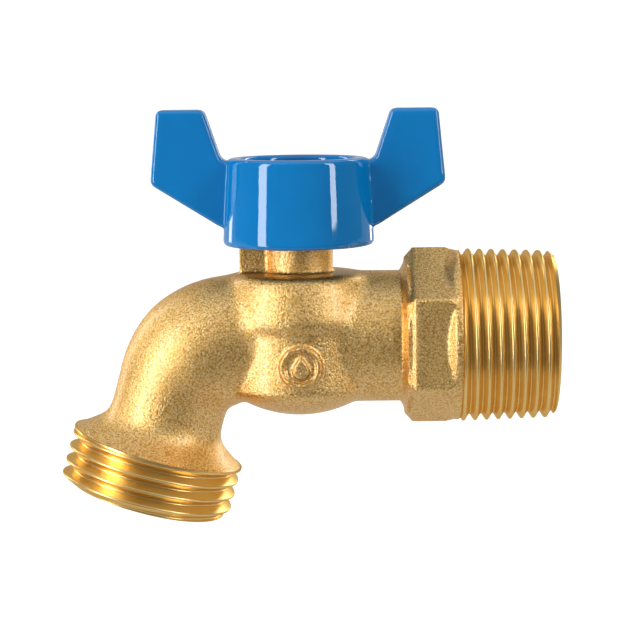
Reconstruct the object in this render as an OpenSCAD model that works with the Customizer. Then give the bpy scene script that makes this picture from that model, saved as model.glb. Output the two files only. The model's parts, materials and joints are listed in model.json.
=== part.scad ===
// Quarter-turn hose bib: a brass ball valve with a wing handle, a male pipe-thread
// inlet and a turned-down spout with a male garden-hose thread.
// Frame: the origin is the centre of the inlet's end face, +X points out of the inlet
// towards the supply pipe and +Z points up the stem. Lengths are millimetres.
// Each piece is drawn about the ball's centre and then moved by placed().

/* [Ball and seats] */
// Radius of the ball
ball_r = 8.25; // [7:0.05:9.9]
// Radius of the port through the ball
port_r = 5.25; // [3.5:0.05:5.4]
// Radial gap between the ball and the wall of its chamber
chamber_gap = 0.35; // [0.25:0.05:0.8]
// Running gap between the ball and its seats
seat_gap = 0.03; // [0.02:0.01:0.08]
// Radial width of a seat ring
seat_w = 2.9; // [2:0.1:3.4]

/* [Valve body] */
// Wall of the barrel around the chamber
barrel_wall = 1.65; // [1.4:0.05:3]
// Radial wall of the round cup around the chamber
cup_wall = 3.2; // [2.4:0.1:4]
// Depth of the cup's bottom below the barrel
cup_drop = 1.9; // [1:0.1:2.5]
// Radius of the cup's dished bottom
dish_r = 18.5; // [14:0.5:30]
// Wall between the chamber and the flat deck under the handle
deck_wall = 1.6; // [1.2:0.1:4]
// Radial wall of the stem boss at the deck
boss_wall = 2.4; // [1.5:0.1:3]
// Length of the adapter's shank in the barrel
engagement = 6.8; // [5:0.1:12]

/* [Spout] */
// Radius of the bend's centre line
bend_r = 12; // [11:0.5:24]
// Angle that the spout turns through
bend_angle = 74; // [50:1:90]
// Radius of the waterway in the bend
bend_bore_r = 7; // [5:0.1:7.4]
// Wall of the bend
bend_wall = 2.8; // [1.8:0.1:3]
// Outside radius of the straight spout
spout_r = 8.85; // [8.5:0.05:10]
// Radius of the waterway at the outlet
outlet_bore_r = 7.2; // [6:0.1:7.4]
// Length from the end of the bend to the outlet face
spout_len = 17.2; // [15:0.1:40]

/* [Hose thread] */
// Major diameter of the hose thread
hose_d = 26.99; // [22:0.01:34]
// Pitch of the hose thread
hose_pitch = 2.209; // [1.5:0.001:2.4]
// Crests between the outlet face and the collar
hose_crests = 3; // [2:1:3]

/* [Inlet adapter] */
// Major diameter of the taper pipe thread at its small end
pipe_d = 26.03; // [24:0.01:33]
// Pitch of the pipe thread
pipe_pitch = 1.814; // [1.2:0.001:2]
// Length of the pipe thread
pipe_thread_len = 14.6; // [8:0.1:25]
// Radius of the adapter's waterway at the inlet
inlet_bore_r = 8.8; // [6:0.1:9.6]
// Width of the wrench hexagon across its flats
hex_af = 24; // [23:0.5:34]
// Width of the hexagon along the pipe
hex_w = 7.9; // [5:0.1:14]
// Width of the round collar between the barrel and the hexagon
collar_w = 1.6; // [1:0.1:4]

/* [Stem and packing] */
// Radius of the stem
stem_r = 3.3; // [2.7:0.05:4]
// Radial width of the packing rings
packing_w = 1.2; // [0.9:0.05:1.8]
// Wall of the neck around the packing
neck_wall = 1; // [0.8:0.05:1.8]
// Height of each packing ring
packing_h = 1.1; // [0.8:0.1:2]
// Radial running fit of the stem
run_fit = 0.05; // [0.02:0.01:0.1]
// Radial fit of screwed and pressed pieces
screw_fit = 0.03; // [0.02:0.01:0.08]

/* [Handle] */
// Height of the hub
hub_h = 13.5; // [13:0.1:20]
// Gap between the deck and the bottom of the hub
hub_gap = 4.1; // [2:0.1:4.5]
// Radius inside the skirt
skirt_r = 9.9; // [9.3:0.1:14]
// Wall of the skirt at its lower rim
skirt_wall = 1.8; // [1.2:0.1:3]
// Inward draft of the hub from bottom to top
hub_draft = 0.7; // [0:0.1:1]
// Radius of the recess in the top of the hub
recess_r = 8.6; // [7:0.1:9]
// Span over both wings
wing_span = 45.8; // [38:0.2:70]
// Height of the wing tips above the bottom of the hub
wing_h = 21; // [17:0.5:32]
// Width of a wing along its top edge
wing_top_w = 7.7; // [5:0.1:10]
// Thickness of a wing
wing_t = 4.8; // [3:0.1:6]
// Width of the stop lug on the neck
lug_w = 4; // [3:0.1:5]
// Gap between the lug and a stop rib at each end of the turn
stop_gap = 0.15; // [0.1:0.05:0.4]

/* [Hidden] */
$fn = 96;
over = 1;

// Places along the pipe, from the ball's centre
chamber_r = ball_r + chamber_gap;
barrel_r = chamber_r + barrel_wall;
seat_back = chamber_r;
seat_r = chamber_r - 0.1;
barrel_end = seat_back + engagement;
hex_x0 = barrel_end + collar_w;
hex_x1 = hex_x0 + hex_w;
inlet_reach = hex_x1 + pipe_thread_len;
shank_r = chamber_r + 0.3;
shank_bore_r = port_r + 0.75;
collar_r = barrel_r - 0.15;
o_ring_t = 1.2;
cup_r = chamber_r + cup_wall;
cup_depth = barrel_r + cup_drop;
cup_top = 1.2;
mark_h = 0.35;

// Outlet
bend_x = -(ball_r + 0.15);
bend_out_r = bend_bore_r + bend_wall;
joint_lap = 0.2;
joint_step = 0.1;
hose_r = hose_d / 2;
hose_depth = 0.6495 * hose_pitch;
hose_flat = hose_pitch / 8;
hose_lead = 1.4;
rim_x = hose_lead + hose_crests * hose_pitch;
rim_w = 0.6;
flare_len = 2.65;

// Taper pipe thread
pipe_r = pipe_d / 2;
pipe_depth = 0.8 * pipe_pitch;
pipe_flat = pipe_pitch - 2 * pipe_depth * tan(30) > 0.06
    ? (pipe_pitch - 2 * pipe_depth * tan(30)) / 2
    : 0.03;
pipe_lead = 1;
pipe_taper = 1 / 32;
pipe_crest_room = pipe_thread_len - pipe_lead - pipe_pitch / 2 + pipe_flat / 2;
pipe_crests = floor(pipe_crest_room / pipe_pitch) + 1;

// Heights up the stem, from the ball's centre
deck_z = chamber_r + deck_wall;
boss_r = chamber_r + boss_wall;
boss_chamfer = 2;
boss_foot = cup_top + 1.4;
flange_r = stem_r + 0.9;
flange_z = ball_r + 0.1;
flange_h = 1.1;
thrust_h = 0.5;
lift_gap = 0.05;
shoulder_z = flange_z + flange_h + thrust_h + lift_gap;
shoulder_h = 1;
packing_z = shoulder_z + shoulder_h;
packing_r = stem_r + packing_w;
gland_z = packing_z + 2 * packing_h;
gland_h = 0.85;
nut_z = gland_z + gland_h;
nut_shank_h = 2.2;
neck_top = nut_z + nut_shank_h;
neck_r = packing_r + screw_fit + neck_wall;
nut_head_h = 2;
nut_af = 2 * (packing_r + 0.5);
stem_groove_z = nut_z + 0.7;
stem_ring_t = 0.9;

// Ball slot and stem tang
tang_w = 2.4;
tang_l = 2 * flange_r - 1.6;
tang_drop = 1.9;
slot_drop = tang_drop + 0.2;

// Handle
hub_z = deck_z + hub_gap;
hub_top_z = hub_z + hub_h;
hub_r = skirt_r + skirt_wall;
web_z = neck_top + nut_head_h + 1.4;
web_h = 3;
web_top = web_z + web_h;
flat_half = stem_r - 0.75;
stem_top = web_top - 0.2;
lug_reach = skirt_r - 0.7;
lug_top = web_z - 2;
rib_in = max(neck_r, nut_af / sqrt(3)) + 1.3;
rib_w = 2.4;
tip_x = wing_span / 2;
wing_root_h = 2.7;
wing_corner_h = 9.1;

// Handle screw and its washers
screw_r = 1.5;
screw_l = 10;
washer_h = 0.7;
washer_r = 4.6;
lock_h = 0.8;
lock_r = 3.1;
head_z = web_top + washer_h + lock_h;
head_h = 2.2;
head_r = 3.2;

BRASS_CAST = [0.80, 0.63, 0.33];
BRASS_TURNED = [0.86, 0.70, 0.36];
CHROME = [0.80, 0.81, 0.83];
PTFE = [0.95, 0.95, 0.92];
BLACK_RUBBER = [0.08, 0.08, 0.08];
BLUE_PAINT = [0.00, 0.42, 0.74];
STAINLESS = [0.70, 0.71, 0.72];

module placed() {
    translate([-inlet_reach, 0, 0])
        children();
}

// Turns a piece drawn along +Z so that it runs along +X from x
module along_x(x) {
    translate([x, 0, 0])
        rotate([0, 90, 0])
            children();
}

// Moves a piece to the end of the bend, with +Z down the spout
module at_spout() {
    translate([bend_x, 0, -bend_r])
        rotate([0, -bend_angle, 0])
            translate([0, 0, bend_r])
                rotate([0, -90, 0])
                    children();
}

// Moves a piece to the outlet face, with +Z back up the spout
module from_outlet() {
    at_spout()
        translate([0, 0, spout_len])
            mirror([0, 0, 1])
                children();
}

module ring(r_in, r_out, h) {
    difference() {
        cylinder(r = r_out, h = h);
        translate([0, 0, -over])
            cylinder(r = r_in, h = h + 2 * over);
    }
}

module o_ring(r_mid, t) {
    rotate_extrude()
        translate([r_mid, 0])
            circle(d = t, $fn = 32);
}

module hexagon(af, h) {
    cylinder(r = af / sqrt(3), h = h, $fn = 6);
}

// One crest of a thread whose centre is x from the end face
function crest(r, x, pitch, depth, flat) = [
    [r - depth, x - pitch / 2 + flat / 2],
    [r, x - flat / 2],
    [r, x + flat / 2],
    [r - depth, x + pitch / 2 - flat / 2]
];

// Threaded stub with parallel grooves at the thread's pitch, from its end face up +Z
module threaded_stub(r_end, taper, pitch, depth, flat, crests, lead, length) {
    outline = [
        for (i = [0 : crests - 1])
            each crest(r_end + taper * (lead + i * pitch), lead + i * pitch, pitch, depth, flat)
    ];
    rotate_extrude()
        polygon(concat(
            [[0, 0], [r_end - depth, 0]],
            outline,
            [[r_end + taper * length - depth, length], [0, length]]
        ));
}

module barrel() {
    along_x(0)
        cylinder(r = barrel_r, h = barrel_end);
    along_x(bend_x - joint_lap)
        cylinder(r1 = bend_out_r + joint_step, r2 = barrel_r, h = joint_lap - bend_x);
}

// Round cup about the stem's axis that holds the ball's chamber, with a dished bottom
module chamber_cup() {
    rotate_extrude()
        intersection() {
            translate([0, dish_r - cup_depth])
                circle(r = dish_r);
            translate([0, -cup_depth])
                square([cup_r, cup_depth + cup_top]);
        }
}

// Boss that carries the deck, a groove above the cup
module stem_boss() {
    side_h = deck_z - boss_chamfer - boss_foot;
    translate([0, 0, boss_foot])
        cylinder(r1 = boss_r + 1.3, r2 = boss_r, h = side_h);
    translate([0, 0, boss_foot + side_h])
        cylinder(r1 = boss_r, r2 = boss_r - boss_chamfer, h = boss_chamfer);
}

module neck_and_lug() {
    cylinder(r = neck_r, h = neck_top);
    translate([-lug_reach, -lug_w / 2, deck_z - over])
        cube([lug_reach, lug_w, lug_top - deck_z + over]);
}

// Plain water drop in a ring, raised on the cup's front
module drop_mark() {
    ring_r = 3.3;
    ring_w = 0.6;
    drop_r = 1.2;
    mark_z = -3.3;
    intersection() {
        translate([0, 0, mark_z])
            rotate([90, 0, 0]) {
                translate([0, 0, cup_r - over])
                    ring(ring_r - ring_w, ring_r, 2 * over);
                translate([0, -drop_r / 2, cup_r - over])
                    cylinder(r = drop_r, h = 2 * over);
                translate([0, 0, cup_r - over])
                    linear_extrude(height = 2 * over)
                        polygon([[-0.9 * drop_r, 0], [0.9 * drop_r, 0], [0, 1.8 * drop_r]]);
            }
        translate([0, 0, mark_z - 2 * ring_r])
            cylinder(r = cup_r + mark_h, h = 4 * ring_r);
    }
}

module bend(r, lap) {
    translate([bend_x, 0, -bend_r])
        rotate([90, 0, 0])
            rotate([0, 0, 90])
                rotate_extrude(angle = bend_angle + lap)
                    translate([bend_r, 0])
                        circle(r = r);
}

module spout() {
    shrink_len = 4;
    bend(bend_out_r, 1);
    at_spout() {
        cylinder(r1 = bend_out_r + joint_step, r2 = spout_r, h = shrink_len);
        cylinder(r = spout_r, h = spout_len - rim_x);
    }
    from_outlet() {
        threaded_stub(hose_r, 0, hose_pitch, hose_depth, hose_flat, hose_crests, hose_lead, rim_x);
        rotate_extrude()
            polygon([
                [0, rim_x - hose_pitch / 2],
                [hose_r - hose_depth, rim_x - hose_pitch / 2],
                [hose_r - hose_depth, rim_x - hose_pitch / 2 + hose_flat / 2],
                [hose_r, rim_x - hose_flat / 2],
                [hose_r, rim_x - hose_flat / 2 + rim_w],
                [spout_r, rim_x + rim_w + flare_len],
                [0, rim_x + rim_w + flare_len]
            ]);
    }
}

module valve_waterway() {
    along_x(-seat_back)
        cylinder(r = chamber_r, h = 2 * seat_back);
    along_x(seat_back - over)
        cylinder(r = shank_r + screw_fit, h = engagement + 2 * over);
    bend(bend_bore_r, 0);
    at_spout()
        translate([0, 0, -joint_lap])
            cylinder(r = outlet_bore_r, h = joint_lap + spout_len + over);
    from_outlet()
        translate([0, 0, -0.2])
            cylinder(r1 = outlet_bore_r + 1.2, r2 = outlet_bore_r, h = 1.2);
}

module stem_bores() {
    cylinder(r = flange_r + run_fit, h = shoulder_z);
    cylinder(r = stem_r + run_fit, h = neck_top);
    translate([0, 0, packing_z])
        cylinder(r = packing_r + screw_fit, h = neck_top);
    translate([0, 0, neck_top])
        cylinder(r = nut_af / sqrt(3) + 0.4, h = neck_top);
}

module valve_body() {
    color(BRASS_CAST)
        placed()
            difference() {
                union() {
                    barrel();
                    chamber_cup();
                    stem_boss();
                    neck_and_lug();
                    drop_mark();
                    spout();
                }
                valve_waterway();
                stem_bores();
            }
}

// Hexagon about X. Its corners are turned down at the barrel, and its flats run out
// into a round shoulder at the thread
module wrench_hex() {
    corner_r = hex_af / sqrt(3) - 0.2;
    face_r = hex_af / 2 - 0.3;
    bevel = (corner_r - face_r) * 0.6;
    shoulder_r = hex_af / 2 + 1.2;
    shoulder_w = 1.6;
    along_x(hex_x0)
        intersection() {
            hexagon(hex_af, hex_w);
            rotate_extrude()
                polygon([
                    [0, 0],
                    [face_r, 0],
                    [corner_r, bevel],
                    [corner_r, hex_w - 1.5 * shoulder_w],
                    [shoulder_r - 0.1, hex_w],
                    [0, hex_w]
                ]);
        }
    along_x(hex_x1 - shoulder_w)
        cylinder(r1 = shoulder_r - shoulder_w, r2 = shoulder_r, h = shoulder_w);
}

module inlet_adapter() {
    groove_x = barrel_end - 2.6;
    mouth = 0.6;
    color(BRASS_TURNED)
        placed()
            difference() {
                union() {
                    along_x(seat_back)
                        cylinder(r = shank_r, h = engagement);
                    along_x(barrel_end)
                        cylinder(r = collar_r, h = collar_w + over);
                    wrench_hex();
                    along_x(hex_x1 - over)
                        cylinder(r = pipe_r - pipe_depth, h = 2 * over);
                    along_x(inlet_reach)
                        mirror([0, 0, 1])
                            threaded_stub(
                                pipe_r, pipe_taper, pipe_pitch, pipe_depth, pipe_flat,
                                pipe_crests, pipe_lead, pipe_thread_len
                            );
                }
                along_x(seat_back - over)
                    cylinder(r = shank_bore_r, h = engagement + collar_w + 2 * over);
                along_x(hex_x0)
                    cylinder(r = inlet_bore_r, h = inlet_reach);
                along_x(inlet_reach - mouth)
                    cylinder(r1 = inlet_bore_r, r2 = inlet_bore_r + mouth + 0.2, h = mouth + 0.2);
                along_x(groove_x - o_ring_t / 2 - 0.1)
                    ring(shank_r - o_ring_t, shank_r + over, o_ring_t + 0.2);
            }
}

module adapter_seal() {
    color(BLACK_RUBBER)
        placed()
            along_x(barrel_end - 2.6)
                o_ring(shank_r - o_ring_t / 2, o_ring_t);
}

module ball() {
    color(CHROME)
        placed()
            difference() {
                sphere(r = ball_r);
                along_x(-2 * ball_r)
                    cylinder(r = port_r, h = 4 * ball_r);
                translate([-tang_w / 2 - run_fit, -2 * ball_r, flange_z - slot_drop])
                    cube([tang_w + 2 * run_fit, 4 * ball_r, slot_drop + over]);
            }
}

// Seat ring on the +X side of the ball, with a spherical face, clear of the stem's flange
module seat() {
    seat_x = max(sqrt(pow(ball_r, 2) - pow(seat_r - 1.2, 2)), flange_r + 0.2);
    difference() {
        along_x(seat_x)
            ring(seat_r - seat_w, seat_r, seat_back - seat_x);
        sphere(r = ball_r + seat_gap);
    }
}

module inlet_seat() {
    color(PTFE)
        placed()
            seat();
}

module outlet_seat() {
    color(PTFE)
        placed()
            mirror([1, 0, 0])
                seat();
}

module stem() {
    color(BRASS_TURNED)
        placed()
            difference() {
                union() {
                    translate([0, 0, flange_z])
                        cylinder(r = flange_r, h = flange_h);
                    translate([0, 0, flange_z])
                        cylinder(r = stem_r, h = stem_top - flange_z);
                    translate([-tang_w / 2, -tang_l / 2, flange_z - tang_drop])
                        cube([tang_w, tang_l, tang_drop + flange_h / 2]);
                }
                for (side = [0, 180])
                    rotate([0, 0, side])
                        translate([flat_half, -stem_r - over, web_z])
                            cube([stem_r, 2 * (stem_r + over), stem_top]);
                translate([0, 0, stem_groove_z])
                    ring(stem_r - stem_ring_t, stem_r + over, stem_ring_t + 0.2);
                translate([0, 0, head_z - screw_l - 0.5])
                    cylinder(r = screw_r + screw_fit, h = screw_l + over);
            }
}

module thrust_washer() {
    color(PTFE)
        placed()
            translate([0, 0, flange_z + flange_h])
                ring(stem_r, flange_r, thrust_h);
}

module packing_ring(level) {
    color(PTFE)
        placed()
            translate([0, 0, packing_z + level * packing_h])
                ring(stem_r + run_fit, packing_r, packing_h);
}

module lower_packing() {
    packing_ring(0);
}

module upper_packing() {
    packing_ring(1);
}

module packing_gland() {
    color(BRASS_TURNED)
        placed()
            translate([0, 0, gland_z])
                ring(stem_r + run_fit, packing_r, gland_h);
}

module packing_nut() {
    head_bevel_r = nut_af / sqrt(3) - 0.15;
    color(BRASS_TURNED)
        placed()
            translate([0, 0, nut_z])
                difference() {
                    union() {
                        cylinder(r = packing_r, h = nut_shank_h + over);
                        translate([0, 0, nut_shank_h])
                            intersection() {
                                hexagon(nut_af, nut_head_h);
                                cylinder(
                                    r1 = head_bevel_r + nut_head_h,
                                    r2 = head_bevel_r - 0.5,
                                    h = nut_head_h
                                );
                            }
                    }
                    translate([0, 0, -over])
                        cylinder(r = stem_r + run_fit, h = nut_shank_h + nut_head_h + 2 * over);
                }
}

module stem_o_ring() {
    color(BLACK_RUBBER)
        placed()
            translate([0, 0, stem_groove_z + stem_ring_t / 2 + 0.1])
                o_ring(stem_r - stem_ring_t / 2, stem_ring_t);
}

module wing() {
    root_x = hub_r - skirt_wall;
    top_z = hub_z + wing_h;
    rotate([90, 0, 0])
        linear_extrude(height = wing_t, center = true)
            polygon([
                [root_x, hub_z + wing_root_h],
                [root_x + 1.5, hub_z + wing_root_h],
                [tip_x - 0.2, hub_z + wing_corner_h],
                [tip_x, hub_z + wing_corner_h + 0.8],
                [tip_x - 0.8, top_z],
                [tip_x - 0.8 - wing_top_w, top_z],
                [hub_r, hub_top_z],
                [root_x, hub_top_z - 0.5]
            ]);
}

// Rib inside the skirt that meets the lug's side at the end of the turn
module stop_rib() {
    rib_out = skirt_r + 0.3;
    translate([-rib_out, lug_w / 2 + stop_gap, hub_z + 0.7])
        cube([rib_out - rib_in, rib_w, web_z - hub_z]);
}

module handle() {
    color(BLUE_PAINT)
        placed() {
            difference() {
                union() {
                    translate([0, 0, hub_z])
                        cylinder(r1 = hub_r, r2 = hub_r - hub_draft, h = hub_h);
                    wing();
                    mirror([1, 0, 0])
                        wing();
                }
                translate([0, 0, hub_z - over])
                    cylinder(r = skirt_r, h = web_z - hub_z + over);
                translate([0, 0, web_top])
                    cylinder(r = recess_r, h = hub_h + wing_h);
                intersection() {
                    cylinder(r = stem_r + screw_fit, h = hub_top_z);
                    translate([-flat_half - screw_fit, -2 * stem_r, 0])
                        cube([2 * (flat_half + screw_fit), 4 * stem_r, hub_top_z]);
                }
            }
            stop_rib();
            rotate([0, 0, 90])
                mirror([0, 1, 0])
                    stop_rib();
        }
}

module flat_washer() {
    color(STAINLESS)
        placed()
            translate([0, 0, web_top])
                ring(screw_r + 0.1, washer_r, washer_h);
}

module lock_washer() {
    color(STAINLESS)
        placed()
            translate([0, 0, web_top + washer_h])
                difference() {
                    ring(screw_r + 0.1, lock_r, lock_h);
                    rotate([0, 0, 20])
                        translate([0, -0.3, -over])
                            cube([2 * lock_r, 0.6, lock_h + 2 * over]);
                }
}

module handle_screw() {
    color(STAINLESS)
        placed()
            difference() {
                union() {
                    translate([0, 0, head_z - screw_l])
                        cylinder(r = screw_r, h = screw_l + over);
                    translate([0, 0, head_z])
                        cylinder(r = head_r, h = head_h * 0.6);
                    translate([0, 0, head_z + head_h * 0.6])
                        cylinder(r1 = head_r, r2 = head_r * 0.72, h = head_h * 0.4);
                }
                for (turn = [0, 90])
                    rotate([0, 0, turn])
                        translate([-head_r * 0.55, -0.35, head_z + head_h * 0.35])
                            cube([head_r * 1.1, 0.7, head_h]);
            }
}

valve_body();
inlet_adapter();
adapter_seal();
ball();
inlet_seat();
outlet_seat();
stem();
thrust_washer();
lower_packing();
upper_packing();
packing_gland();
packing_nut();
stem_o_ring();
handle();
flat_washer();
lock_washer();
handle_screw();
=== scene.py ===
import json
import math

import bmesh
import bpy
from mathutils import Matrix, Vector


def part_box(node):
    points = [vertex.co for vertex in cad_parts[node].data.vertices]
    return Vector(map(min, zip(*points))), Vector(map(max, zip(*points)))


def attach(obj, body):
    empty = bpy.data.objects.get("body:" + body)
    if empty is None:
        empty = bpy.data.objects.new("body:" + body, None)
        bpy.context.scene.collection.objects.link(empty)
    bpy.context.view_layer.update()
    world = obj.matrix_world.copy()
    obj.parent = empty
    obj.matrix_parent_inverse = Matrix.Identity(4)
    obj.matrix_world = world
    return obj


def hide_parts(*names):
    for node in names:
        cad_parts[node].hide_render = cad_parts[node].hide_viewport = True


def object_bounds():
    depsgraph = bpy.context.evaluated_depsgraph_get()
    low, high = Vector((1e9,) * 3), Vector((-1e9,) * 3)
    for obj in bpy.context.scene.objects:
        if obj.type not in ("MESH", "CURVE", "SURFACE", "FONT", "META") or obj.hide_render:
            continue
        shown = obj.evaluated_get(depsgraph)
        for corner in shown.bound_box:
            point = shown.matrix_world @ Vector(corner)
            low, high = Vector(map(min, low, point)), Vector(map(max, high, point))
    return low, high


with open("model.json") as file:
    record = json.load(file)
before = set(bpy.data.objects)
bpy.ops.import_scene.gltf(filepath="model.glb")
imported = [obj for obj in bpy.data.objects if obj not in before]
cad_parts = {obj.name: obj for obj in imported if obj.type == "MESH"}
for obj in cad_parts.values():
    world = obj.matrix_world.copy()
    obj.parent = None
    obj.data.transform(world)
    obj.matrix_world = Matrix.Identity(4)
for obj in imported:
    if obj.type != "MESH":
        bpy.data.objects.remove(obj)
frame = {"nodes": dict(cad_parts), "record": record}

cad_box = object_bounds()

# Lengths are millimetres from the ball's centre until a piece is put in place.
MM = 0.001


def node_centre(node):
    """Middle of a CAD node's box, in metres."""
    low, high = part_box(node)
    return (low + high) / 2


def node_span(node, axis):
    """Lowest and highest place of a CAD node along one axis, in mm from the ball's centre."""
    low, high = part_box(node)
    return (low[axis] - BALL[axis]) / MM, (high[axis] - BALL[axis]) / MM


BALL = node_centre("ball")
PLACE = Matrix.Translation(BALL) @ Matrix.Scale(MM, 4)

# Places taken from the CAD
INLET_END = node_span("inlet_adapter", 0)[1]
HUB_BOTTOM = node_span("handle", 2)[0]
WING_TOP = node_span("handle", 2)[1]
WING_TIP = node_span("handle", 0)[1]
WEB_TOP = node_span("flat_washer", 2)[0]
SHOULDER = node_span("lower_packing", 2)[0]
NECK_TOP = node_span("packing_nut", 2)[0] + 2.2
HUB_TOP = HUB_BOTTOM + 13.5
WEB_BOTTOM = WEB_TOP - 3.0

# Barrel and ball chamber
BARREL_R = 10.25
BARREL_END = 15.4
BARREL_FACE = 15.75
CHAMBER_R = 8.6
SHANK_R = 8.9
SHANK_BORE = 8.93
CUP_R = 11.8
CUP_TOP = 1.2
CUP_DEPTH = 12.15
DISH_R = 18.5
MARK_Z = -3.3

# Stem boss and neck
DECK = 10.2
BOSS_R = 11.4
NECK_R = 5.3
FLANGE_BORE = 4.25
STEM_BORE = 3.35
PACKING_BORE = 4.53
NUT_BORE = 6.17
LUG_REACH = 9.2
LUG_HALF = 2

# Bend, spout and hose thread
BEND_X = -8.4
BEND_R = 12.0
BEND_ANGLE = math.radians(74)
BEND_START_R = 9.75
BEND_BORE = 7.0
SPOUT_R = 8.85
SPOUT_END = 17.2
OUTLET_BORE = 7.2
HOSE_START = 8.7
COLLAR_EDGE = 8.95
COLLAR_FOOT = 9.8
FIRST_CREST = 9.17
HOSE = {"radius": 13.495, "pitch": 2.209, "depth": 1.38, "crest": 0.24, "root": 0.26}

# Inlet adapter and pipe thread
COLLAR_R = 10.15
HEX_CORNER_R = 13.75
HEX_START = 16.2
HEX_END = 25.2
PORT_BORE = 6.0
INLET_BORE = 8.8
PIPE_START = 24.6
PIPE = {"radius": 13.015, "pitch": 1.814, "depth": 1.02, "crest": 0.28, "root": 0.2}
PIPE_TAPER = 1 / 32

# Handle
SKIRT_R = 9.9
HUB_FOOT_R = 11.7
HUB_TOP_R = 11.0
RECESS_R = 8.6
WING_ROOT = 10.1
WING_HALF = 2.4
RIB = (2.15, 4.55)

# Voxel sizes and smoothing rounds of the melted skins, and the angle that stays a sharp edge
BLEND_VOXEL = 0.3
BODY_ROUNDS = 70
CUP_ROUNDS = 26
SKIN_VOXEL = 0.25
SKIN_ROUNDS = 3
HANDLE_VOXEL = 0.22
HANDLE_ROUNDS = 8
SHARP_ANGLE = math.radians(38)

# Studio: strengths, then metres, then angles
FLOOR_GLOW = 0.43
ROOM_GLOW = 0.19
FLOOR_FRONT = -0.06
FLOOR_DROP = 0.03
LIGHT_REACH = 0.7
CAMERA_REACH = 0.33
CAMERA_RISE = math.radians(7)
CAMERA_ROLL = math.radians(-0.6)

ALONG_X = Matrix.Rotation(math.pi / 2, 4, "Y")
SPOUT = (
    Matrix.Translation((BEND_X, 0, -BEND_R))
    @ Matrix.Rotation(-BEND_ANGLE, 4, "Y")
    @ Matrix.Translation((0, 0, BEND_R))
    @ Matrix.Rotation(-math.pi / 2, 4, "Y")
)


# ---------------------------------------------------------------- mesh helpers

def to_object(name, bm):
    """Turns a bmesh into an object of the scene."""
    mesh = bpy.data.meshes.new(name)
    bm.to_mesh(mesh)
    bm.free()
    obj = bpy.data.objects.new(name, mesh)
    bpy.context.scene.collection.objects.link(obj)
    return obj


def to_shape(obj):
    """Turns an object back into a bmesh and removes it."""
    bm = bmesh.new()
    bm.from_mesh(obj.data)
    bpy.data.objects.remove(obj)
    return bm


def merge(target, source):
    """Adds one bmesh to another."""
    mesh = bpy.data.meshes.new("merge")
    source.to_mesh(mesh)
    source.free()
    target.from_mesh(mesh)
    bpy.data.meshes.remove(mesh)


def gather(shapes):
    """Puts several closed shapes into one bmesh."""
    bm = bmesh.new()
    for shape in shapes:
        merge(bm, shape)
    return bm


def close_ends(bm):
    """Caps open rims and turns every face outwards."""
    rims = [e for e in bm.edges if e.is_boundary]
    bmesh.ops.holes_fill(bm, edges=rims, sides=0)
    bmesh.ops.recalc_face_normals(bm, faces=bm.faces)
    return bm


def arc(centre, radius, start, end, steps):
    """Points along an arc in degrees, as (radius, height) pairs."""
    turns = [math.radians(start + (end - start) * k / steps) for k in range(steps + 1)]
    return [
        (centre[0] + radius * math.cos(a), centre[1] + radius * math.sin(a)) for a in turns
    ]


def revolve(profile, place, ring=False, steps=96):
    """Solid of revolution about +Z from (radius, height) points. A ring's outline closes on itself."""
    bm = bmesh.new()
    verts = [bm.verts.new((r, 0, z)) for r, z in profile]
    pairs = list(zip(verts, verts[1:]))
    if ring:
        pairs.append((verts[-1], verts[0]))
    edges = [bm.edges.new(pair) for pair in pairs]
    bmesh.ops.spin(
        bm, geom=verts + edges, cent=(0, 0, 0), axis=(0, 0, 1),
        angle=2 * math.pi, steps=steps, use_merge=True,
    )
    bmesh.ops.remove_doubles(bm, verts=bm.verts, dist=1e-4)
    bmesh.ops.dissolve_degenerate(bm, edges=bm.edges, dist=1e-4)
    bmesh.ops.recalc_face_normals(bm, faces=bm.faces)
    bmesh.ops.transform(bm, matrix=place, verts=bm.verts)
    return bm


def drum(radius, z0, z1, place=Matrix.Identity(4), top=None, segments=96):
    """Cylinder or cone along +Z between two heights."""
    bm = bmesh.new()
    bmesh.ops.create_cone(
        bm, cap_ends=True, segments=segments, depth=z1 - z0,
        radius1=radius, radius2=radius if top is None else top,
    )
    shift = place @ Matrix.Translation((0, 0, (z0 + z1) / 2))
    bmesh.ops.transform(bm, matrix=shift, verts=bm.verts)
    return bm


def block(low, high):
    """Box between two corners."""
    bm = bmesh.new()
    bmesh.ops.create_cube(bm, size=1)
    centre = (Vector(low) + Vector(high)) / 2
    size = Vector(high) - Vector(low)
    bmesh.ops.scale(bm, vec=size, verts=bm.verts)
    bmesh.ops.translate(bm, vec=centre, verts=bm.verts)
    return bm


def plate(outline, y0, y1):
    """Flat outline of (x, z) points made solid from y0 to y1."""
    bm = bmesh.new()
    face = bm.faces.new([bm.verts.new((x, y0, z)) for x, z in outline])
    pushed = bmesh.ops.extrude_face_region(bm, geom=[face])
    moved = [v for v in pushed["geom"] if isinstance(v, bmesh.types.BMVert)]
    bmesh.ops.translate(bm, vec=(0, y1 - y0, 0), verts=moved)
    bmesh.ops.recalc_face_normals(bm, faces=bm.faces)
    return bm


def settle(obj):
    """Applies an object's modifiers to its mesh."""
    graph = bpy.context.evaluated_depsgraph_get()
    mesh = bpy.data.meshes.new_from_object(obj.evaluated_get(graph))
    old = obj.data
    obj.modifiers.clear()
    obj.data = mesh
    mesh.name = obj.name
    bpy.data.meshes.remove(old)
    return obj


def combine(obj, shape, how):
    """Boolean of an object with a closed bmesh, which is used up."""
    tool = to_object("tool", shape)
    step = obj.modifiers.new(how, "BOOLEAN")
    step.operation = how
    step.solver = "MANIFOLD"
    step.object = tool
    settle(obj)
    bpy.data.meshes.remove(tool.data)
    return obj


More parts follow.
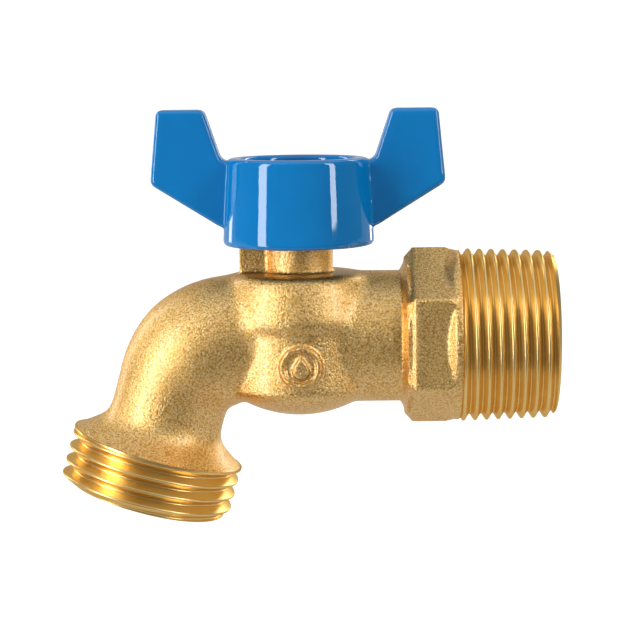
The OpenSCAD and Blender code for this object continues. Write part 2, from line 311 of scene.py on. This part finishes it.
def cast_skin(name, shapes, voxel, rounds):
    """Fuses closed shapes into one skin and melts their edges together, as a casting's fillets do."""
    obj = to_object(name, gather(shapes))
    fuse = obj.modifiers.new("fuse", "REMESH")
    fuse.mode = "VOXEL"
    fuse.voxel_size = voxel
    fuse.adaptivity = 0
    melt = obj.modifiers.new("melt", "SMOOTH")
    melt.factor = 0.5
    melt.iterations = rounds
    return settle(obj)


def blend(shapes, voxel, rounds):
    """The same melted skin, handed back as a shape for the next step."""
    return to_shape(cast_skin("blend", shapes, voxel, rounds))


def thread_outline(thread):
    """One ridge of a 60-degree thread with rounded crest and roots, as (radius, along) points."""
    top, foot = thread["radius"], thread["radius"] - thread["depth"]
    half = thread["pitch"] / 2
    crest = arc((top - thread["crest"], 0), thread["crest"], 60, 0, 4)
    root = arc((foot + thread["root"], half), thread["root"], 180, 240, 3)
    low = [(foot - 0.35, half)] + root + crest
    return [(r, -z) for r, z in low] + [(r, z) for r, z in reversed(low[:-1])]


def helix(thread, z0, z1, place, taper=0.0, steps_a_turn=120):
    """Right-handed thread ridge around +Z from z0 to past z1."""
    turns = math.ceil((z1 - z0) / thread["pitch"])
    bm = bmesh.new()
    verts = [bm.verts.new((0, -r, z0 + z)) for r, z in thread_outline(thread)]
    edges = [bm.edges.new(pair) for pair in zip(verts, verts[1:] + verts[:1])]
    bmesh.ops.spin(
        bm, geom=verts + edges, cent=(0, 0, 0), axis=(0, 0, 1),
        dvec=(0, 0, thread["pitch"] / steps_a_turn),
        angle=2 * math.pi * turns, steps=steps_a_turn * turns,
    )
    for v in bm.verts:
        reach = math.hypot(v.co.x, v.co.y)
        change = 1 + taper * v.co.z / reach
        v.co.x *= change
        v.co.y *= change
    close_ends(bm)
    bmesh.ops.transform(bm, matrix=place, verts=bm.verts)
    return bm


def put_in_place(obj, body, slot, *nodes):
    obj.data.transform(PLACE)
    for face in obj.data.polygons:
        face.use_smooth = True
    obj.data.set_sharp_from_angle(angle=SHARP_ANGLE)
    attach(obj, body)
    if nodes:
        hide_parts(*nodes)
    return obj


# ---------------------------------------------------------------- materials

def new_material(name):
    """Empty node material with its output and shader."""
    mat = bpy.data.materials.new(name)
    mat.use_nodes = True
    tree = mat.node_tree
    tree.nodes.clear()
    out = tree.nodes.new("ShaderNodeOutputMaterial")
    shader = tree.nodes.new("ShaderNodeBsdfPrincipled")
    tree.links.new(shader.outputs["BSDF"], out.inputs["Surface"])
    return mat, tree, shader


def group(name, inputs, outputs):
    """Node group with named sockets: inputs as (name, kind, default), outputs as (name, kind)."""
    tree = bpy.data.node_groups.new(name, "ShaderNodeTree")
    for label, kind, default in inputs:
        socket = tree.interface.new_socket(name=label, in_out="INPUT", socket_type=kind)
        socket.default_value = default
    for label, kind in outputs:
        tree.interface.new_socket(name=label, in_out="OUTPUT", socket_type=kind)
    return tree, tree.nodes.new("NodeGroupInput"), tree.nodes.new("NodeGroupOutput")


def feed(tree, value, socket):
    """Gives a socket a number or a colour, or links it to another socket."""
    if isinstance(value, tuple):
        socket.default_value = (*value, 1)
    elif isinstance(value, (int, float)):
        socket.default_value = value
    else:
        tree.links.new(value, socket)


def noise(tree, vector, scale, detail, roughness):
    """Noise texture on given coordinates."""
    node = tree.nodes.new("ShaderNodeTexNoise")
    feed(tree, scale, node.inputs["Scale"])
    node.inputs["Detail"].default_value = detail
    node.inputs["Roughness"].default_value = roughness
    tree.links.new(vector, node.inputs["Vector"])
    return node.outputs["Fac"]


def spread(tree, value, low, high, to_low=0.0, to_high=1.0):
    """Maps a value's range onto another one."""
    node = tree.nodes.new("ShaderNodeMapRange")
    for label, number in (
        ("From Min", low), ("From Max", high), ("To Min", to_low), ("To Max", to_high)
    ):
        node.inputs[label].default_value = number
    tree.links.new(value, node.inputs["Value"])
    return node.outputs["Result"]


def math_node(tree, how, a, b):
    """Math node on two sockets or numbers."""
    node = tree.nodes.new("ShaderNodeMath")
    node.operation = how
    for socket, value in zip(node.inputs, (a, b)):
        feed(tree, value, socket)
    return node.outputs[0]


def blend_colour(tree, mask, a, b):
    """Mix of two colours, each a socket or a tuple."""
    node = tree.nodes.new("ShaderNodeMix")
    node.data_type = "RGBA"
    tree.links.new(mask, node.inputs["Factor"])
    for label, value in (("A", a), ("B", b)):
        feed(tree, value, [s for s in node.inputs if s.name == label and s.type == "RGBA"][0])
    return [s for s in node.outputs if s.type == "RGBA"][0]


def grain_group():
    """Blasted or cast grain: a height, a mask of raised grain (painted glints in cast brass, roughness
    elsewhere), a mask of low spots for painted shade, and slow patches.
    """
    tree, inside, outside = group(
        "blasted_grain",
        [("Vector", "NodeSocketVector", (0, 0, 0)), ("Grain", "NodeSocketFloat", 3200.0)],
        [
            ("Height", "NodeSocketFloat"), ("Glint", "NodeSocketFloat"),
            ("PaintedPitShade", "NodeSocketFloat"), ("Patch", "NodeSocketFloat"),
        ],
    )
    place, size = inside.outputs["Vector"], inside.outputs["Grain"]
    fine = noise(tree, place, size, 3, 0.7)
    grit = tree.nodes.new("ShaderNodeTexVoronoi")
    tree.links.new(place, grit.inputs["Vector"])
    tree.links.new(math_node(tree, "MULTIPLY", size, 0.9), grit.inputs["Scale"])
    cells = math_node(tree, "MULTIPLY", grit.outputs["Distance"], 0.45)
    height = math_node(tree, "SUBTRACT", fine, cells)
    tree.links.new(height, outside.inputs["Height"])
    # Mask of the raised grain: cast_brass paints glints with it, and the other finishes vary their
    # roughness with it.
    tree.links.new(spread(tree, height, 0.28, 0.5), outside.inputs["Glint"])
    # Painted shade: a mask of the grain's low spots, which cast_brass uses to darken the colour where
    # shade would fall in the pits.
    tree.links.new(spread(tree, height, 0.26, 0.08), outside.inputs["PaintedPitShade"])
    slow = noise(tree, place, 160, 3, 0.6)
    tree.links.new(spread(tree, slow, 0.35, 0.65), outside.inputs["Patch"])
    return tree


def use_grain(tree, grain, size):
    """Places the shared grain in a material at a given fineness."""
    node = tree.nodes.new("ShaderNodeGroup")
    node.node_tree = grain
    coords = tree.nodes.new("ShaderNodeTexCoord")
    tree.links.new(coords.outputs["Object"], node.inputs["Vector"])
    node.inputs["Grain"].default_value = size
    return node


def bump(tree, height, strength, distance):
    """Bump from a height in metres."""
    node = tree.nodes.new("ShaderNodeBump")
    node.inputs["Strength"].default_value = strength
    node.inputs["Distance"].default_value = distance
    tree.links.new(height, node.inputs["Height"])
    return node.outputs["Normal"]


def bare_brass(shader):
    """Metal that stays golden where it is seen edge-on."""
    shader.inputs["Metallic"].default_value = 1
    shader.inputs["Specular Tint"].default_value = (0.93, 0.70, 0.40, 1)


def cast_brass(grain):
    """Blasted casting: painted glints on the raised grains, painted shade in the grain's low spots,
    and slow patches of tone.
    """
    mat, tree, shader = new_material("cast_brass")
    effect = use_grain(tree, grain, 3700)
    base = blend_colour(tree, effect.outputs["Patch"], (0.86, 0.50, 0.125), (0.90, 0.55, 0.15))
    # Painted highlight: raised grains are blended toward a pale gold, standing in for glints of the
    # lamps.
    light = blend_colour(
        tree, spread(tree, effect.outputs["Glint"], 0, 1, 0, 0.9), base, (1.0, 0.86, 0.52)
    )
    # Painted shade in the grain's low spots: the colour is pulled toward dark brown where the height
    # is low.
    colour = blend_colour(
        tree, spread(tree, effect.outputs["PaintedPitShade"], 0, 1, 0, 0.8), light, (0.42, 0.21, 0.055)
    )
    tree.links.new(colour, shader.inputs["Base Color"])
    bare_brass(shader)
    shader.inputs["Coat Weight"].default_value = 0.6
    shader.inputs["Coat Roughness"].default_value = 0.3
    shader.inputs["Coat IOR"].default_value = 1.6
    tree.links.new(
        spread(tree, effect.outputs["Patch"], 0, 1, 0.34, 0.39), shader.inputs["Roughness"]
    )
    tree.links.new(
        bump(tree, effect.outputs["Height"], 1.0, 0.0001), shader.inputs["Normal"]
    )
    return mat


def turned_brass(grain):
    """Lighter, smoother brass of the machined threads."""
    mat, tree, shader = new_material("turned_brass")
    effect = use_grain(tree, grain, 1800)
    colour = blend_colour(tree, effect.outputs["Patch"], (0.85, 0.57, 0.21), (0.91, 0.65, 0.27))
    tree.links.new(colour, shader.inputs["Base Color"])
    bare_brass(shader)
    tree.links.new(
        spread(tree, effect.outputs["Glint"], 0, 1, 0.3, 0.36), shader.inputs["Roughness"]
    )
    tree.links.new(
        bump(tree, effect.outputs["Height"], 0.06, 0.00004), shader.inputs["Normal"]
    )
    return mat


def blue_paint(grain):
    """Thick glossy enamel under a clear coat."""
    mat, tree, shader = new_material("blue_paint")
    effect = use_grain(tree, grain, 900)
    colour = blend_colour(tree, effect.outputs["Patch"], (0.0, 0.205, 0.55), (0.0, 0.22, 0.59))
    tree.links.new(colour, shader.inputs["Base Color"])
    tree.links.new(
        spread(tree, effect.outputs["Glint"], 0, 1, 0.10, 0.14), shader.inputs["Roughness"]
    )
    shader.inputs["Specular IOR Level"].default_value = 0
    shader.inputs["Coat Weight"].default_value = 1
    shader.inputs["Coat Roughness"].default_value = 0.03
    shader.inputs["Coat IOR"].default_value = 1.55
    tree.links.new(
        bump(tree, effect.outputs["Height"], 0.05, 0.00008), shader.inputs["Normal"]
    )
    return mat


def plain_finish(name, grain, low, high, metal, rough, size, relief):
    """Simple finish: two close tones, a roughness range and a light relief."""
    mat, tree, shader = new_material(name)
    effect = use_grain(tree, grain, size)
    tree.links.new(
        blend_colour(tree, effect.outputs["Patch"], low, high), shader.inputs["Base Color"]
    )
    shader.inputs["Metallic"].default_value = metal
    tree.links.new(
        spread(tree, effect.outputs["Glint"], 0, 1, rough, rough * 1.5), shader.inputs["Roughness"]
    )
    tree.links.new(bump(tree, effect.outputs["Height"], relief, 0.00005), shader.inputs["Normal"])
    return mat


# ---------------------------------------------------------------- valve body

def bend_radius(turn):
    """Outside radius of the bend at a share of its turn: fuller at the heel, slimmer at the spout."""
    full = BEND_START_R + 0.5 * math.sin(math.pi * min(turn / 0.95, 1))
    return full + (SPOUT_R - BEND_START_R) * max(0, (turn - 0.55) / 0.45)


def bend_tube(radius_at, steps=30):
    """Closed tube along the bend's centre line."""
    bm = bmesh.new()
    bmesh.ops.create_circle(bm, segments=72, radius=1)
    bmesh.ops.transform(bm, matrix=ALONG_X, verts=bm.verts)
    bmesh.ops.translate(bm, vec=(BEND_X, 0, 0), verts=bm.verts)
    bmesh.ops.spin(
        bm, geom=bm.verts[:] + bm.edges[:], cent=(BEND_X, 0, -BEND_R), axis=(0, 1, 0),
        angle=-BEND_ANGLE, steps=steps,
    )
    for v in bm.verts:
        arm = Vector((v.co.x - BEND_X, 0, v.co.z + BEND_R))
        centre = Vector((BEND_X, 0, -BEND_R)) + arm.normalized() * BEND_R
        turn = math.atan2(-arm.x, arm.z) / BEND_ANGLE
        v.co = centre + (v.co - centre) * radius_at(max(0, min(1, turn)))
    return close_ends(bm)


def flare_profile():
    """Spout with a concave sweep into a cone out to the thread, as (radius, distance) points."""
    cone = [(10.2, 6.5), (15.0, 10.0), (15.0, 12.5), (0, 12.5)]
    low, bend, high = Vector((SPOUT_R, 3.8)), Vector((SPOUT_R, 5.5)), Vector(cone[0])
    sweep = [
        tuple(low.lerp(bend, k / 8).lerp(bend.lerp(high, k / 8), k / 8)) for k in range(8)
    ]
    return [(0, -0.6), (SPOUT_R, -0.6)] + sweep + cone


def chamber_cup():
    """Round cup around the ball, with a dished bottom."""
    dish = arc((0, DISH_R - CUP_DEPTH), DISH_R, -90, -50.4, 12)
    return revolve(dish + [(CUP_R, CUP_TOP), (0, CUP_TOP)], Matrix.Identity(4))


def stem_boss():
    """Round boss that carries the deck and steps in to the cup."""
    rounding = 1.6
    edge = arc((BOSS_R - 0.3 - rounding, DECK - rounding), rounding, 8, 90, 6)
    side = [(0, CUP_TOP - 0.2), (CUP_R - 0.3, CUP_TOP - 0.2), (BOSS_R + 1.3, CUP_TOP + 1.9)]
    return revolve(side + edge + [(0, DECK)], Matrix.Identity(4))


def drop_mark():
    """Raised water drop in a ring, wrapped round the cup's front."""
    ring_in, ring_out, drop_r, proud = 2.45, 3.25, 1.25, 0.6
    low, high = CUP_R - 2, CUP_R + 1
    face = Matrix.Translation((0.2, 0, MARK_Z)) @ Matrix.Rotation(math.pi / 2, 4, "X")
    ring = revolve(
        [(ring_in, low), (ring_in, high), (ring_out, high), (ring_out, low)],
        face, ring=True, steps=48,
    )
    drop = bmesh.new()
    bmesh.ops.create_circle(drop, cap_ends=True, segments=32, radius=drop_r)
    for v in drop.verts:
        if v.co.y > 0:
            v.co.x *= 1 - 0.75 * (v.co.y / drop_r) ** 1.5
            v.co.y *= 1.75
    pushed = bmesh.ops.extrude_face_region(drop, geom=drop.faces[:])
    moved = [v for v in pushed["geom"] if isinstance(v, bmesh.types.BMVert)]
    bmesh.ops.translate(drop, vec=(0, 0, high - low), verts=moved)
    shift = face @ Matrix.Translation((0, -0.45, low))
    bmesh.ops.transform(drop, matrix=shift, verts=drop.verts)
    bmesh.ops.recalc_face_normals(drop, faces=drop.faces)
    mark = to_object("drop_mark", gather([ring, drop]))
    return to_shape(combine(mark, drum(CUP_R + proud, -9, 3), "INTERSECT"))


def valve_casting():
    """The body casting, bored out and faced for the thread."""
    masses = [
        drum(BARREL_R, 0, BARREL_END + 3, ALONG_X),
        drum(BEND_START_R, BEND_X - 0.2, 0, ALONG_X, top=BARREL_R),
        stem_boss(),
        bend_tube(bend_radius),
        revolve(flare_profile(), SPOUT),
    ]
    masses = blend(masses, BLEND_VOXEL, BODY_ROUNDS)
    masses = blend([masses, chamber_cup()], BLEND_VOXEL, CUP_ROUNDS)
    lug = block((-LUG_REACH, -LUG_HALF, DECK - 1), (0, LUG_HALF, NECK_TOP + 1.4))
    neck = drum(NECK_R, 0, NECK_TOP)
    skin = [masses, drop_mark(), neck, lug]
    body = cast_skin("valve_casting", skin, SKIN_VOXEL, SKIN_ROUNDS)
    face, lip_r, clear = HOSE_START + 0.05, HOSE["radius"] - 0.045, 20
    cuts = [
        revolve([
            (0, face), (lip_r, face), (lip_r, 7), (clear, 7), (clear, clear), (0, clear),
        ], SPOUT),
        drum(14, BARREL_FACE, BARREL_END + 5, ALONG_X),
        drum(CHAMBER_R, -CHAMBER_R, CHAMBER_R, ALONG_X),
        drum(SHANK_BORE, CHAMBER_R - 1, BARREL_END + 2, ALONG_X),
        bend_tube(lambda turn: BEND_BORE),
        drum(OUTLET_BORE, -0.2, SPOUT_END, SPOUT),
        drum(FLANGE_BORE, 0, SHOULDER - 1),
        drum(STEM_BORE, 0, SHOULDER + 1),
        drum(PACKING_BORE, SHOULDER, NECK_TOP + 5),
        drum(NUT_BORE, NECK_TOP, NECK_TOP + 5),
    ]
    for cut in cuts:
        combine(body, cut, "DIFFERENCE")
    return body


def hose_thread():
    """Right-handed hose thread with a thin collar at its back, chamfered at the outlet."""
    crest = HOSE["radius"]
    root = crest - HOSE["depth"]
    piece = to_object("hose_thread", revolve([
        (0, HOSE_START), (crest, HOSE_START), (crest, COLLAR_EDGE), (root, COLLAR_FOOT),
        (root, SPOUT_END), (0, SPOUT_END),
    ], SPOUT))
    behind = SPOUT @ Matrix.Rotation(math.pi, 4, "Z")
    first = FIRST_CREST - HOSE["pitch"] / 2
    combine(piece, helix(HOSE, first, SPOUT_END + 2, behind), "UNION")
    combine(piece, revolve([
        (0, HOSE_START), (crest + 0.1, HOSE_START), (crest + 0.1, SPOUT_END - 0.9),
        (root - 0.2, SPOUT_END), (0, SPOUT_END),
    ], SPOUT), "INTERSECT")
    combine(piece, revolve([
        (0, HOSE_START - 1), (OUTLET_BORE, HOSE_START - 1), (OUTLET_BORE, SPOUT_END - 1),
        (OUTLET_BORE + 1.2, SPOUT_END + 0.2), (0, SPOUT_END + 0.2),
    ], SPOUT), "DIFFERENCE")
    return piece


# ---------------------------------------------------------------- inlet adapter

def adapter_hex():
    """Collar, wrench hexagon and round shoulder of the adapter, with its shank."""
    turned = ALONG_X @ Matrix.Rotation(math.pi / 6, 4, "Z")
    prism = drum(HEX_CORNER_R, HEX_START, HEX_END, turned, segments=6)
    front = [e for e in prism.edges if all(v.co.x < HEX_START + 0.5 for v in e.verts)]
    bmesh.ops.bevel(
        prism, geom=front, offset=1.3, segments=1, affect="EDGES", profile=0.5, material=-1,
    )
    shell = to_object("adapter_prism", prism)
    combine(shell, revolve([
        (0, 16), (14.5, 16), (14.5, 21.6), (13.5, 23.2), (13.1, 24.8), (0, 24.8),
    ], ALONG_X), "INTERSECT")
    shapes = [
        to_shape(shell),
        drum(COLLAR_R, BARREL_END, 18, ALONG_X),
        drum(COLLAR_R - 0.2, BARREL_END - 0.6, 16, ALONG_X),
        drum(COLLAR_R + 0.05, 15.6, 16.6, ALONG_X, top=12.2),
        revolve([
            (0, 21.5), (10.9, 21.5), (13.2, 23.6), (13.25, 24.6), (12.6, 25.15), (0, 25.15),
        ], ALONG_X),
        drum(SHANK_R, CHAMBER_R, 17, ALONG_X),
    ]
    piece = cast_skin("adapter_hex", shapes, SKIN_VOXEL, SKIN_ROUNDS)
    combine(piece, drum(PORT_BORE, 0, 20, ALONG_X), "DIFFERENCE")
    combine(piece, drum(INLET_BORE, 17, 30, ALONG_X), "DIFFERENCE")
    return piece


def pipe_thread():
    """Right-handed taper thread, chamfered at its end."""
    crest = PIPE["radius"]
    root = crest - PIPE["depth"]
    length = INLET_END - PIPE_START
    last = length - 0.4
    back = ALONG_X @ Matrix.Translation((0, 0, INLET_END)) @ Matrix.Rotation(math.pi, 4, "X")
    piece = to_object("pipe_thread", revolve([
        (0, 0), (root, 0), (root + PIPE_TAPER * length, length), (0, length),
    ], back))
    combine(piece, helix(PIPE, -0.85, 15.3, back, PIPE_TAPER), "UNION")
    combine(piece, revolve([
        (0, 0), (root + 0.3, 0), (crest + 0.15, 1.1),
        (crest + 0.1 + PIPE_TAPER * last, last), (root + 0.9, length), (0, length),
    ], back), "INTERSECT")
    mouth = 0.8
    combine(piece, revolve([
        (0, -0.2), (INLET_BORE + mouth, -0.2), (INLET_BORE, mouth - 0.2),
        (INLET_BORE, length + 1), (0, length + 1),
    ], back), "DIFFERENCE")
    return piece


# ---------------------------------------------------------------- handle

def wing(side):
    """One wing, from inside the hub's wall out to its tip, with rounded edges."""
    tip = WING_TIP - 0.1
    outline = [
        (WING_ROOT, HUB_BOTTOM + 2.4), (12.0, HUB_BOTTOM + 2.9), (tip, HUB_BOTTOM + 9.6),
        (tip - 1.1, WING_TOP), (14.4, WING_TOP), (11.8, HUB_TOP - 0.2),
        (WING_ROOT, HUB_TOP - 0.6),
    ]
    shape = plate([(side * x, z) for x, z in outline], -WING_HALF, WING_HALF)
    bmesh.ops.bevel(
        shape, geom=shape.edges[:], offset=0.8, segments=4, affect="EDGES", profile=0.5,
        material=-1,
    )
    return shape


def wing_handle():
    """Die-cast handle: hub with skirt, web and recess, two wings and two stop ribs."""
    bore_r, stem_hole_r, stem_flat = 3.0, 3.33, 2.58
    top_round, foot_round = 0.8, 0.7
    top = arc((HUB_TOP_R - top_round, HUB_TOP - top_round), top_round, 90, 0, 5)
    foot = arc((HUB_FOOT_R - foot_round, HUB_BOTTOM + foot_round), foot_round, 0, -90, 5)
    inside = [
        (bore_r, WEB_BOTTOM), (bore_r, WEB_TOP), (RECESS_R, WEB_TOP),
        (RECESS_R, HUB_TOP - 0.5), (RECESS_R + 0.4, HUB_TOP),
    ]
    skirt = [(SKIRT_R, HUB_BOTTOM), (SKIRT_R, WEB_BOTTOM)]
    hub = revolve(inside + top + foot + skirt, Matrix.Identity(4), ring=True)
    near, far, low, high = 7.1, SKIRT_R + 0.3, HUB_BOTTOM + 0.7, WEB_BOTTOM + 0.5
    rib_back = block((-far, RIB[0], low), (-near, RIB[1], high))
    rib_front = block((RIB[0], -far, low), (RIB[1], -near, high))
    shapes = [hub, wing(1), wing(-1), rib_back, rib_front]
    piece = cast_skin("wing_handle", shapes, HANDLE_VOXEL, HANDLE_ROUNDS)
    flats = drum(stem_hole_r, WEB_BOTTOM - 1, WEB_TOP + 1)
    for side in (-1, 1):
        bmesh.ops.bisect_plane(
            flats, geom=flats.verts[:] + flats.edges[:] + flats.faces[:],
            plane_co=(side * stem_flat, 0, 0), plane_no=(side, 0, 0), clear_outer=True,
        )
    combine(piece, close_ends(flats), "DIFFERENCE")
    return piece


# ---------------------------------------------------------------- build

grain = grain_group()
finishes = {
    "cast_brass": cast_brass(grain),
    "turned_brass": turned_brass(grain),
    "blue_paint": blue_paint(grain),
}
for name, low, high, metal, rough, size, relief in (
    ("chrome_plate", (0.78, 0.79, 0.81), (0.83, 0.84, 0.86), 1, 0.06, 900, 0.03),
    ("ptfe", (0.86, 0.86, 0.83), (0.92, 0.92, 0.89), 0, 0.42, 1500, 0.08),
    ("black_rubber", (0.018, 0.018, 0.018), (0.03, 0.03, 0.03), 0, 0.5, 2400, 0.15),
    ("stainless", (0.55, 0.55, 0.54), (0.64, 0.64, 0.63), 1, 0.2, 1600, 0.1),
):
    finishes[name] = plain_finish(name, grain, low, high, metal, rough, size, relief)

slots = {s["node"]: s["material_slot"] for s in frame["record"]["subparts"]}
for name, obj in frame["nodes"].items():
    obj.data.materials.clear()
    obj.data.materials.append(finishes[slots[name]])

for make, body, finish, nodes in (
    (valve_casting, "valve", "cast_brass", ["valve_body"]),
    (hose_thread, "valve", "turned_brass", []),
    (adapter_hex, "valve", "cast_brass", ["inlet_adapter"]),
    (pipe_thread, "valve", "turned_brass", []),
    (wing_handle, "handle", "blue_paint", ["handle"]),
):
    piece = put_in_place(make(), body, finish, *nodes)
    piece.data.materials.clear()
    piece.data.materials.append(finishes[finish])


# ---------------------------------------------------------------- studio

def seen_or_reflected(tree, seen, reflected):
    """One strength for what the camera sees, and another for what the object reflects."""
    path = tree.nodes.new("ShaderNodeLightPath")
    return spread(tree, path.outputs["Is Camera Ray"], 0, 1, reflected, seen)


def sweep():
    """Pale floor that curves up into a backdrop."""
    bm = bmesh.new()
    depth, height, width, curve = 1.2, 1.6, 3.0, 0.6
    line = [(-width, FLOOR_FRONT, 0), (-width, depth, 0)]
    line += [
        (-width, depth + curve * math.sin(a), curve - curve * math.cos(a))
        for a in [math.pi / 2 * k / 8 for k in range(1, 9)]
    ]
    line.append((-width, depth + curve, height))
    verts = [bm.verts.new(p) for p in line]
    edges = [bm.edges.new(pair) for pair in zip(verts, verts[1:])]
    pushed = bmesh.ops.extrude_edge_only(bm, edges=edges)
    moved = [v for v in pushed["geom"] if isinstance(v, bmesh.types.BMVert)]
    bmesh.ops.translate(bm, vec=(2 * width, 0, 0), verts=moved)
    bmesh.ops.recalc_face_normals(bm, faces=bm.faces)
    floor = to_object("floor", bm)
    floor.location = (BALL.x, 0, cad_box[0][2] - FLOOR_DROP)
    for face in floor.data.polygons:
        face.use_smooth = True
    mat, tree, shader = new_material("pale_floor")
    shader.inputs["Base Color"].default_value = (0.2, 0.2, 0.2, 1)
    shader.inputs["Roughness"].default_value = 0.9
    shader.inputs["Emission Color"].default_value = (1, 1, 1, 1)
    tree.links.new(seen_or_reflected(tree, 1.0, FLOOR_GLOW), shader.inputs["Emission Strength"])
    floor.data.materials.append(mat)


def softbox(name, turn, rise, width, height, brightness):
    """Rectangular light, turned about the ball's centre from the camera's side."""
    data = bpy.data.lights.new(name, "AREA")
    data.shape = "RECTANGLE"
    data.size = width
    data.size_y = height
    data.energy = brightness * math.pi * width * height
    light = bpy.data.objects.new(name, data)
    a, e = math.radians(turn), math.radians(rise)
    away = Vector((math.sin(a) * math.cos(e), -math.cos(a) * math.cos(e), math.sin(e)))
    light.location = BALL + away * LIGHT_REACH
    light.rotation_euler = away.to_track_quat("Z", "Y").to_euler()
    bpy.context.scene.collection.objects.link(light)


def camera():
    """Long lens from the front, a little above the pipe."""
    data = bpy.data.cameras.new("camera")
    data.lens = 121
    data.sensor_width = 36
    data.clip_start = 0.01
    cam = bpy.data.objects.new("camera", data)
    target = BALL + Vector((2.4, 0, 3.3)) * MM
    away = Vector((0, -math.cos(CAMERA_RISE), math.sin(CAMERA_RISE)))
    cam.location = target + away * CAMERA_REACH
    roll = Matrix.Rotation(CAMERA_ROLL, 4, "Z")
    cam.matrix_world = (
        Matrix.Translation(cam.location)
        @ away.to_track_quat("Z", "Y").to_matrix().to_4x4() @ roll
    )
    bpy.context.scene.collection.objects.link(cam)
    bpy.context.scene.camera = cam


def studio():
    """White sweep, two strips in front, two rims behind and a wide box overhead."""
    sweep()
    softbox("left_strip", -57, 8, 0.175, 0.8, 9.5)
    softbox("right_strip", 57, 22.2, 0.13, 0.5, 9)
    softbox("left_rim", -128, 15, 0.12, 0.8, 5)
    softbox("right_rim", 146, 15, 0.08, 0.8, 7)
    softbox("top_box", 0, 85, 1.1, 1.1, 0.6)
    world = bpy.data.worlds.new("studio")
    world.use_nodes = True
    tree = world.node_tree
    backdrop = tree.nodes["Background"]
    backdrop.inputs["Color"].default_value = (1, 1, 1, 1)
    tree.links.new(seen_or_reflected(tree, 1.0, ROOM_GLOW), backdrop.inputs["Strength"])
    bpy.context.scene.world = world
    bpy.context.scene.view_settings.view_transform = "Standard"


studio()
camera()
